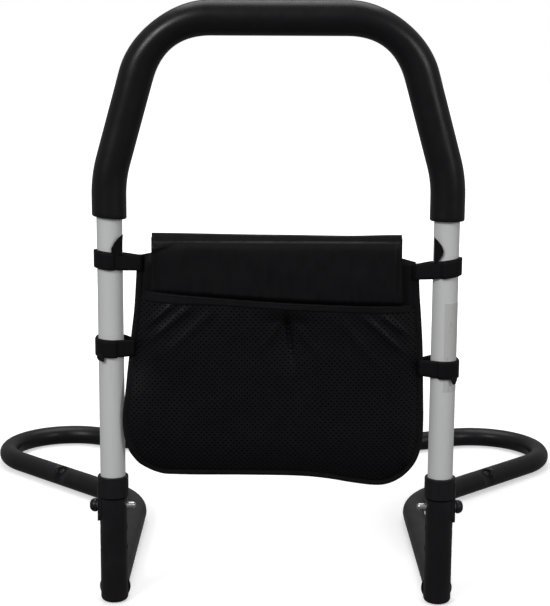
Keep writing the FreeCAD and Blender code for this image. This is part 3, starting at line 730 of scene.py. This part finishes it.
# ------------ mouth of the mesh pocket
HEM_TOP = smooth_line([(-133, 0, 325.1), (-90, 0, 322.1), (-40, 0, 318.2), (10, 0, 315.2),
                       (60, 0, 313.1), (100, 0, 312.0), (133, 0, 311.4)], 2.0)
MESH_COLUMN = 5.4  # from hole to hole along a row
MESH_ROW = 2.75  # from row to row, each shifted by half a hole
MESH_WAIST = 0.3  # how much of a row's height is taken by a cell's upright sides
HOLE = 0.36  # hole size as a share of its cell


def hem_level(x):
    """The height of the pocket's top edge."""
    for before, after in zip(HEM_TOP, HEM_TOP[1:]):
        if x <= after.x:
            return before.z + (after.z - before.z) * (x - before.x) / (after.x - before.x)
    return HEM_TOP[-1].z


def hem_height(x):
    """The hem is deeper at its left end."""
    return 10.3 - 3.0 * smoothstep(-120, -45, x)


# ------------ flap
# (y, z) from behind the back panel, over the top fold and the ledge under it, down the front
FLAP_PROFILE = [
    (2.6, 362), (2.8, 372), (2.3, 378.6), (0.2, 381.0), (-1.9, 379.9), (-2.8, 377.0), (-3.4, 374.4),
    (-5.3, 373.2), (-7.2, 371.9), (-8.7, 368.6), (-9.4, 362), (-9.2, 345), (-8.8, 330), (-8.0, 300),
    (-6.2, 262), (-5.4, 252),
]
flap_line = [(p.y, p.z) for p in smooth_line([(0, y, z) for y, z in FLAP_PROFILE], 1.6)]
FLAP_HEM = 6.5
FLAP_THICKNESS = 1.1
FLAP_COLUMNS = 120
FLAP_SAG = 1.8
CREASE_DEPTH = 2.2
TUCKED_LEVEL = -2.4  # where the flap's end lies inside the pocket, in y


def flap_droop(x):
    """How much lower than at its left end the flap's top edge is."""
    return 1.3 * smoothstep(-120, 0, x) + 0.7 * smoothstep(0, 70, x) - 1.0 * smoothstep(70, 115, x)


def flap_surface(x, y, z):
    """The flap's own wrinkles, over its profile, and its tuck into the pocket's mouth."""
    mouth = hem_level(x)
    tuck = smoothstep(mouth + 3, mouth - 5, z) * (0.4 + 0.6 * smoothstep(-105, -40, x))
    y += (TUCKED_LEVEL - y) * tuck if y < -6 else 0
    front = smoothstep(0, -6, y)
    wrinkle = 0.9 * noise.noise(Vector((x / 46, 2.0, z / 38)))
    wrinkle += 0.45 * noise.noise(Vector((x / 15, 5.0, z / 24)))
    # the left end has a crease that runs up to the right, and the cloth under it stands forward
    over_fold = z - (365.5 + (x + 123) * 0.36)
    fold = max(0.0, 1 - over_fold / 7) if over_fold > 0 else smoothstep(-2.2, 0, over_fold)
    fold *= CREASE_DEPTH * smoothstep(-100, -112, x) * smoothstep(-4, -8, y)
    edge_gap = min(x - FLAP_LEFT, FLAP_RIGHT - x)
    hem = 0.9 * smoothstep(FLAP_HEM + 0.9, FLAP_HEM - 0.3, edge_gap)
    across = (x - FLAP_LEFT) / (FLAP_RIGHT - FLAP_LEFT)
    sag = FLAP_SAG * math.sin(math.pi * across) * front * (1 - tuck)
    lower = flap_droop(x) * smoothstep(373, 380, z)
    return Vector((x, y + hang(x, z) + (wrinkle - hem) * front - fold - sag, z - lower))


def make_flap():
    """One sheet that hangs behind, goes over the top of the back panel and down into the pocket."""
    columns = FLAP_COLUMNS
    points = []
    for y, z in flap_line:
        for column in range(columns + 1):
            x = FLAP_LEFT + (FLAP_RIGHT - FLAP_LEFT) * column / columns
            bow = 0.8 * math.sin(z / 21) * (abs(x) / 121) ** 6 * math.copysign(1, x)
            points.append(flap_surface(x + bow, y, z))
    faces = []
    for row in range(len(flap_line) - 1):
        for column in range(columns):
            low = row * (columns + 1) + column
            high = low + columns + 1
            faces.append((low, high, high + 1, low + 1))
    flap = add_piece("front_flap", points, faces, "pouch_fabric")
    thicken(flap, FLAP_THICKNESS)
    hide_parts("pouch_flap")
    return flap


def flap_stitch_lines():
    """Stitches down the two side hems, from the top fold to the pocket's mouth."""
    lines = []
    for x in (FLAP_LEFT + FLAP_HEM - 1.4, FLAP_RIGHT - FLAP_HEM + 1.4):
        in_view = [(y, z) for y, z in flap_line if y < -8.2 and z > hem_level(x) + 9]
        lines.append([(flap_surface(x, y, z) - BACK * 0.75, -BACK) for y, z in in_view])
    return lines


# ------------ mesh pocket
def divider_x(z):
    """Where the seam that divides the pocket in two lies, which leans to the left as it goes up."""
    return 8.0 + (308 - z) * 0.13


POCKET_GAP = 1.1  # between the net and the back panel at the pocket's edges
POCKET_FULLNESS = 13.5
GROOVE_DEPTH = 4.0
GROOVE_WIDTH = 2.2
CORNER_STEPS = 40  # corners of the net's cells are told apart by 1/40 mm
PLEATS = [
    # from, to, height, width
    ((-104, 313), (-131, 289), 2.6, 3.0),
    ((-86, 311), (-129, 274), 2.2, 3.4),
    ((-62, 308), (-112, 262), 1.2, 5.0),
    ((84, 302), (128, 262), 2.2, 3.4),
    ((104, 302), (132, 280), 2.6, 3.0),
    ((58, 302), (104, 246), 1.2, 5.5),
    ((7, 303), (-14, 268), 1.1, 3.6),
    ((10, 302), (40, 262), 0.9, 4.4),
]


def pleats(x, z):
    """Soft diagonal folds that run from the hem and the divider towards the sides."""
    total = 0.0
    for (x0, z0), (x1, z1), height, width in PLEATS:
        along = Vector((x1 - x0, z1 - z0))
        offset = Vector((x - x0, z - z0))
        reach = offset.dot(along) / along.length_squared
        away = abs(along.x * offset.y - along.y * offset.x) / along.length
        fold = height * bell(away, width)
        total += fold * smoothstep(-0.1, 0.2, reach) * smoothstep(1.15, 0.6, reach)
    return total


def pocket_depth(x, z):
    """How far the mesh stands in front of the back panel. It is held down along the divider."""
    inside = max(0.0, edge_distance(x, z) - BINDING_WIDTH + 1.5)
    rise = 1 - math.exp(-inside / 13)
    fullness = POCKET_FULLNESS + 3.5 * smoothstep(190, 320, z)
    fullness += 1.6 * noise.noise(Vector((x / 52, 9.0, z / 40)))
    across = x - divider_x(z)
    below_hem = smoothstep(-6, -22, z - hem_level(x))
    held = (0.30 * smoothstep(170, 300, z) + 0.10) * below_hem
    fullness *= (1 - held * bell(across, 20)) * (1 - 0.5 * swing(x, z) / SWING)
    groove = GROOVE_DEPTH * bell(across, GROOVE_WIDTH) * smoothstep(238, 286, z) * below_hem
    folds = pleats(x, z) + 0.7 * noise.noise(Vector((x / 17, 3.0, z / 26)))
    return POCKET_GAP + rise * (fullness - groove + folds)


def pocket_point(x, z):
    """A point of the mesh pocket."""
    return Vector((x, hang(x, z) - pocket_depth(x, z), z))


def cell_corners():
    """A net cell's six corners and the middles of its sides, about its centre."""
    half = MESH_COLUMN / 2
    waist = MESH_ROW * MESH_WAIST
    tip = MESH_ROW - waist
    corners = [(half, -waist), (half, waist), (0, tip), (-half, waist), (-half, -waist), (0, -tip)]
    around = []
    for (x0, z0), (x1, z1) in zip(corners, corners[1:] + corners[:1]):
        around += [(x0, z0), ((x0 + x1) / 2, (z0 + z1) / 2)]
    return around


def hole_corners(cell):
    """The rounded hole in a net cell, with one point for each of the cell's."""
    half_width = MESH_COLUMN / 2
    half_height = MESH_ROW * (1 - MESH_WAIST)
    hole = []
    for x, z in cell:
        angle = math.atan2(z, x * half_height / half_width)
        hole.append((math.cos(angle) * half_width * HOLE, math.sin(angle) * half_height * HOLE))
    return hole


def make_mesh_pocket():
    """A net of round holes in staggered rows, so that what is behind the pocket shows through it.

    Neighbouring cells share their corners, which are found again by their rounded places.
    """
    cell = cell_corners()
    hole = hole_corners(cell)
    points = []
    faces = []
    shared = {}
    for row in range(int(210 / MESH_ROW)):
        z = POUCH_BOTTOM - 2 + row * MESH_ROW
        for column in range(-30, 30):
            x = (column + 0.5 * (row % 2)) * MESH_COLUMN
            if z > hem_level(x) - hem_height(x) / 2 or edge_distance(x, z) < BINDING_WIDTH - 2.6:
                continue
            outer = []
            for u, v in cell:
                key = (round((x + u) * CORNER_STEPS), round((z + v) * CORNER_STEPS))
                if key not in shared:
                    shared[key] = len(points)
                    points.append(pocket_point(x + u, z + v))
                outer.append(shared[key])
            inner = len(points)
            points += [pocket_point(x + u, z + v) for u, v in hole]
            for index in range(len(cell)):
                after = (index + 1) % len(cell)
                faces.append((outer[index], outer[after], inner + after, inner + index))
    net = add_piece("pocket_net", points, faces, "pocket_mesh")
    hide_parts("mesh_pocket")
    return net


def make_pocket_hem():
    """Folded tape along the pocket's mouth."""
    stations = []
    sections = []
    for point in HEM_TOP:
        x = point.x
        height = hem_height(x)
        top = pocket_point(x, point.z)
        across = (top - pocket_point(x, point.z - height)).normalized()
        wave = 0.18 * math.sin(x / 3.7)
        stations.append((pocket_point(x, point.z - height / 2), across, -BACK))
        sections.append(band_section(height, 1.7 + wave))
    hem = add_tape("pocket_hem", "binding_tape", (stations, sections))
    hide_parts("mesh_hem")
    return hem


def hem_stitch_lines():
    """Two rows of stitches along the hem."""
    lines = []
    for share in (0.2, 0.8):
        line = []
        for point in HEM_TOP:
            drop = hem_height(point.x) * share
            line.append((pocket_point(point.x, point.z - drop) - BACK * 0.85, -BACK))
        lines.append(line)
    return lines


# ------------ straps
STRAP_WIDTH = 17.6
STRAP_THICKNESS = 1.5
STRAP_GAP = 0.35  # between a strap and its upright
STRAP_ROOT = 5.5  # how much of a strap lies on the pouch
STRAP_NARROWING = 1.7  # how much narrower it is there
STRAP_START = 2.9  # how far in front of the leg plane it starts
LAP_DROP_INNER = 0.7  # how much lower the lap lies than the loop, beside the pouch
LAP_DROP_OUTER = 0.5  # and at the outer side
STRAIGHT_STEPS = 7
TURN_STEPS = 36
STRAPS = {
    # name: (side, the pouch's edge, level at the pouch, level at the outer side, fall towards the back)
    "strap_upper_left": (-1, 139.6, 351.8, 356.6, 0.2),
    "strap_upper_right": (1, 139.8, 343.8, 350.4, 0.2),
    "strap_lower_left": (-1, 147.4, 266.0, 267.8, -0.22),
    "strap_lower_right": (1, 146.2, 247.2, 246.9, -0.2),
}


def strap_path(grip, radius):
    """Plan points and normals of a strap from the pouch's front, round the upright, to its back.

    The upright's centre is the origin and +x is away from the pouch.
    """
    start = Vector((-grip, -STRAP_START))
    touch = math.atan2(start.y, start.x) + math.acos(radius / start.length)
    touch_point = Vector((math.cos(touch), math.sin(touch))) * radius
    normal = touch_point.normalized()
    front = [(start.lerp(touch_point, step / STRAIGHT_STEPS), normal) for step in range(STRAIGHT_STEPS)]
    turn = []
    for step in range(TURN_STEPS + 1):
        angle = touch - 2 * touch * step / TURN_STEPS
        spoke = Vector((math.cos(angle), math.sin(angle)))
        turn.append((spoke * radius, spoke))
    back = [(Vector((p.x, -p.y)), Vector((n.x, -n.y))) for p, n in reversed(front)]
    return front + turn + back


def strap_stations(side, grip, inner_level, outer_level, fall, path):
    """Stations of a strap along its plan path, rising from the pouch to the outer side.

    Behind the upright the strap falls by the given share of the distance back.
    """
    stations = []
    for point, normal in path:
        share = (point.x + grip) / (grip + HOOP_RADIUS)
        level = inner_level + (outer_level - inner_level) * share - fall * max(0.0, point.y)
        origin = Vector((side * (LEG_X + point.x), point.y, level))
        outward = Vector((side * normal.x, normal.y, 0))
        stations.append((origin, UP, outward))
    return stations


def make_strap(name, side, pouch_x, inner_level, outer_level, fall):
    """The sewn-on loop, and the hook-and-loop end that laps over it."""
    radius = HOOP_RADIUS + STRAP_GAP + STRAP_THICKNESS / 2
    grip = LEG_X - pouch_x + STRAP_ROOT
    path = strap_path(grip, radius)
    stations = strap_stations(side, grip, inner_level, outer_level, fall, path)
    sections = []
    for point, _ in path:
        width = STRAP_WIDTH - STRAP_NARROWING * smoothstep(-HOOP_RADIUS, -grip, point.x)
        sections.append(band_section(width, STRAP_THICKNESS))

    lap_radius = radius + STRAP_THICKNESS
    lap_path = [(n * lap_radius, n) for _, n in path[STRAIGHT_STEPS:-2 * STRAIGHT_STEPS]]
    lap_levels = (inner_level - LAP_DROP_INNER, outer_level - LAP_DROP_OUTER)
    lap = strap_stations(side, grip, *lap_levels, fall, lap_path)
    lap_sections = [band_section(STRAP_WIDTH, STRAP_THICKNESS)] * len(lap)
    runs = [(stations, sections), (lap, lap_sections)]
    strap = add_tape(name.replace("strap", "webbing"), "strap_webbing", *runs)
    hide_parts(name)
    return strap


TAIL_THICKNESS = 1.3
TAIL_GAP = 0.9  # from the upright to the middle of the tail
TAILS = {
    # name: (side, curl, outline of (distance from the upright's centre towards the pouch, level))
    "tail_upper_left": (-1, -3.5, [(3.0, 360), (3.0, 367.5), (6.0, 373), (10.5, 378.4),
                                   (14.3, 381.4), (14.4, 380), (13.4, 370), (13.3, 360)]),
    "tail_upper_right": (1, -3.0, [(13.2, 352), (13.3, 364), (13.6, 380.2), (9.2, 375.2), (5.8, 370.4),
                                   (4.4, 366.0), (5.2, 361.6), (8.0, 357.6), (10.6, 354)]),
    "tail_lower_left": (-1, -1.0, [(-12.6, 262), (-13.0, 258.4), (-11.6, 256), (-9.3, 254.9),
                                   (-6.2, 253.8), (-5.4, 257), (-5.4, 262)]),
    "tail_lower_right": (1, -1.0, [(-6.0, 240), (-6.4, 237.0), (-8.6, 232.3), (-11.0, 233.4),
                                   (-12.6, 237.6), (-12.6, 240)]),
}


def is_inside(outline, x, y):
    """Whether a point is inside a flat outline, by counting the sides to one side of it."""
    inside = False
    for a, b in zip(outline, outline[1:] + outline[:1]):
        if (a.y > y) != (b.y > y) and x < a.x + (b.x - a.x) * (y - a.y) / (b.y - a.y):
            inside = not inside
    return inside


def make_tail(name, side, curl, outline):
    """The free end of a strap that stands out past the strap's edge, just in front of the upright."""
    flat = [Vector((side * (LEG_X - reach), level)) for reach, level in outline]
    low = min(p.y for p in flat)
    high = max(p.y for p in flat)
    inner = []
    for row in range(1, int(high - low)):
        for column in range(-14, 15):
            point = Vector((side * (LEG_X - column), low + row))
            if is_inside(flat, point.x, point.y):
                inner.append(point)
    corners, faces = fill_outline(flat, inner)
    points = []
    surface = HOOP_RADIUS + TAIL_GAP
    for point in corners:
        reach = LEG_X - side * point.x
        y = -math.sqrt(max(surface ** 2 - reach ** 2, 0)) if reach < surface else 0
        tangent_y = -surface + 0.30 * max(0.0, reach - 2)
        share = (point.y - low) / (high - low)
        fall = curl * share if name.startswith("tail_upper") else curl * (1 - share)
        points.append(Vector((point.x, min(y, tangent_y) + fall, point.y)))
    tail = add_piece(name, points, faces, "strap_webbing", run=[p.x for p in points])
    thicken(tail, TAIL_THICKNESS)


def strap_stitch_lines():
    """The box of stitches that holds each strap's root to the pouch."""
    lines = []
    for side, pouch_x, inner_level, _, _ in STRAPS.values():
        y = hang(side * pouch_x, inner_level) - 3.35
        corners = [(-4.8, -6.8), (-0.6, -6.8), (-0.6, 6.8), (-4.8, 6.8), (-4.8, -6.8)]
        box = [Vector((side * (pouch_x + u), y, inner_level + v)) for u, v in corners]
        lines.append([(point, -BACK) for point in box])
    return lines


# ------------ make the soft pieces
finish_cad_nodes()
make_foam_grip()
panel = make_back_panel()
binding = make_binding()
flap = make_flap()
net = make_mesh_pocket()
hem = make_pocket_hem()
for strap_name, strap_facts in STRAPS.items():
    make_strap(strap_name, *strap_facts)
for tail_name, tail_facts in TAILS.items():
    make_tail(tail_name, *tail_facts)
edge_stitches = add_stitches("binding_stitches", edge_stitch_lines())
flap_stitches = add_stitches("flap_stitches", flap_stitch_lines())
hem_stitches = add_stitches("hem_stitches", hem_stitch_lines())
strap_stitches = add_stitches("strap_stitches", strap_stitch_lines())

# ------------ floor, light and camera
FLOOR_SIZE = 40.0
FLOOR_DROP = 0.0004
SOFTBOXES = {
    # name: (place in metres, size, power)
    "key_light": ((-1.5, -2.4, 1.9), 0.9, 31),
    "fill_light": ((1.9, -2.0, 1.4), 0.9, 13),
    "top_light": ((0.0, 0.6, 2.6), 2.0, 26),
}


def make_floor():
    """A pale floor that brightens to the backdrop's white away from the rail."""
    level = cad_low.z - FLOOR_DROP
    bpy.ops.mesh.primitive_plane_add(size=FLOOR_SIZE, location=(0, 0, level))
    floor = bpy.context.object
    floor.name = "floor"
    finish = Finish("floor", grey(0.86), 0.9, specular_ior_level=0.0, emission_color=(1, 1, 1, 1))
    glow = finish.range(finish.distance((0, 0, 0)), 0.3, 1.6, 0.46, 1.0, "LINEAR")
    finish.tree.links.new(glow, finish.shader.inputs["Emission Strength"])
    floor.data.materials.append(finish.material)
    floor.visible_diffuse = False
    floor.visible_glossy = False


def make_backdrop():
    """A white shell far outside everything, which lights nothing."""
    bpy.ops.mesh.primitive_uv_sphere_add(segments=48, ring_count=24, radius=FLOOR_SIZE)
    backdrop = bpy.context.object
    backdrop.name = "backdrop"
    material = bpy.data.materials.new("backdrop")
    material.use_nodes = True
    tree = material.node_tree
    tree.nodes.clear()
    glow = tree.nodes.new("ShaderNodeEmission")
    glow.inputs["Strength"].default_value = 1.0
    out = tree.nodes.new("ShaderNodeOutputMaterial")
    tree.links.new(glow.outputs[0], out.inputs["Surface"])
    backdrop.data.materials.append(material)
    backdrop.visible_diffuse = False
    backdrop.visible_glossy = False
    backdrop.visible_transmission = False
    backdrop.visible_shadow = False


def make_world():
    """Soft light from all round, brightest overhead."""
    world = bpy.data.worlds.new("studio")
    bpy.context.scene.world = world
    world.use_nodes = True
    tree = world.node_tree
    where = tree.nodes.new("ShaderNodeTexCoord")
    split = tree.nodes.new("ShaderNodeSeparateXYZ")
    tree.links.new(where.outputs["Generated"], split.inputs[0])
    height = tree.nodes.new("ShaderNodeMapRange")
    for name, limit in (("From Min", -0.6), ("From Max", 1.0), ("To Min", 0.11), ("To Max", 0.35)):
        height.inputs[name].default_value = limit
    tree.links.new(split.outputs["Z"], height.inputs["Value"])
    tree.links.new(height.outputs["Result"], tree.nodes["Background"].inputs["Strength"])
    tree.nodes["Background"].inputs["Color"].default_value = (1, 1, 1, 1)


def add_softbox(name, location, size, power):
    """A large square light, turned to the middle of the rail."""
    light = bpy.data.lights.new(name, "AREA")
    light.shape = "SQUARE"
    light.size = size
    light.energy = power
    holder = bpy.data.objects.new(name, light)
    holder.location = location
    target = (cad_low + cad_high) / 2
    holder.rotation_euler = (target - Vector(location)).to_track_quat("-Z", "Y").to_euler()
    bpy.context.scene.collection.objects.link(holder)


# the camera fitted to the photo's edges, in millimetres and degrees
LENS = 86.91
SHIFT_X = 0.0229
SHIFT_Y = 0.0214
CAMERA_AHEAD = 1433.6
CAMERA_HEIGHT = 565.5
CAMERA_X = -11.1
CAMERA_PITCH = 10.55
CAMERA_YAW = 0.21
CAMERA_ROLL = 0.25


def make_camera():
    """A long lens a little above the hoop's middle, looking slightly down."""
    data = bpy.data.cameras.new("camera")
    data.lens = LENS
    data.sensor_width = 36.0
    data.shift_x = SHIFT_X
    data.shift_y = SHIFT_Y
    data.clip_end = 100.0
    camera = bpy.data.objects.new("camera", data)
    camera.location = place((CAMERA_X, -CAMERA_AHEAD, CAMERA_HEIGHT))
    tilt = Euler((math.radians(90 - CAMERA_PITCH), 0, math.radians(CAMERA_YAW))).to_matrix()
    roll = Matrix.Rotation(math.radians(CAMERA_ROLL), 3, "Z")
    camera.rotation_euler = (tilt @ roll).to_euler()
    bpy.context.scene.collection.objects.link(camera)
    bpy.context.scene.camera = camera


make_floor()
make_backdrop()
make_world()
for light_name, light_facts in SOFTBOXES.items():
    add_softbox(light_name, *light_facts)
make_camera()
bpy.context.scene.view_settings.view_transform = "Standard"
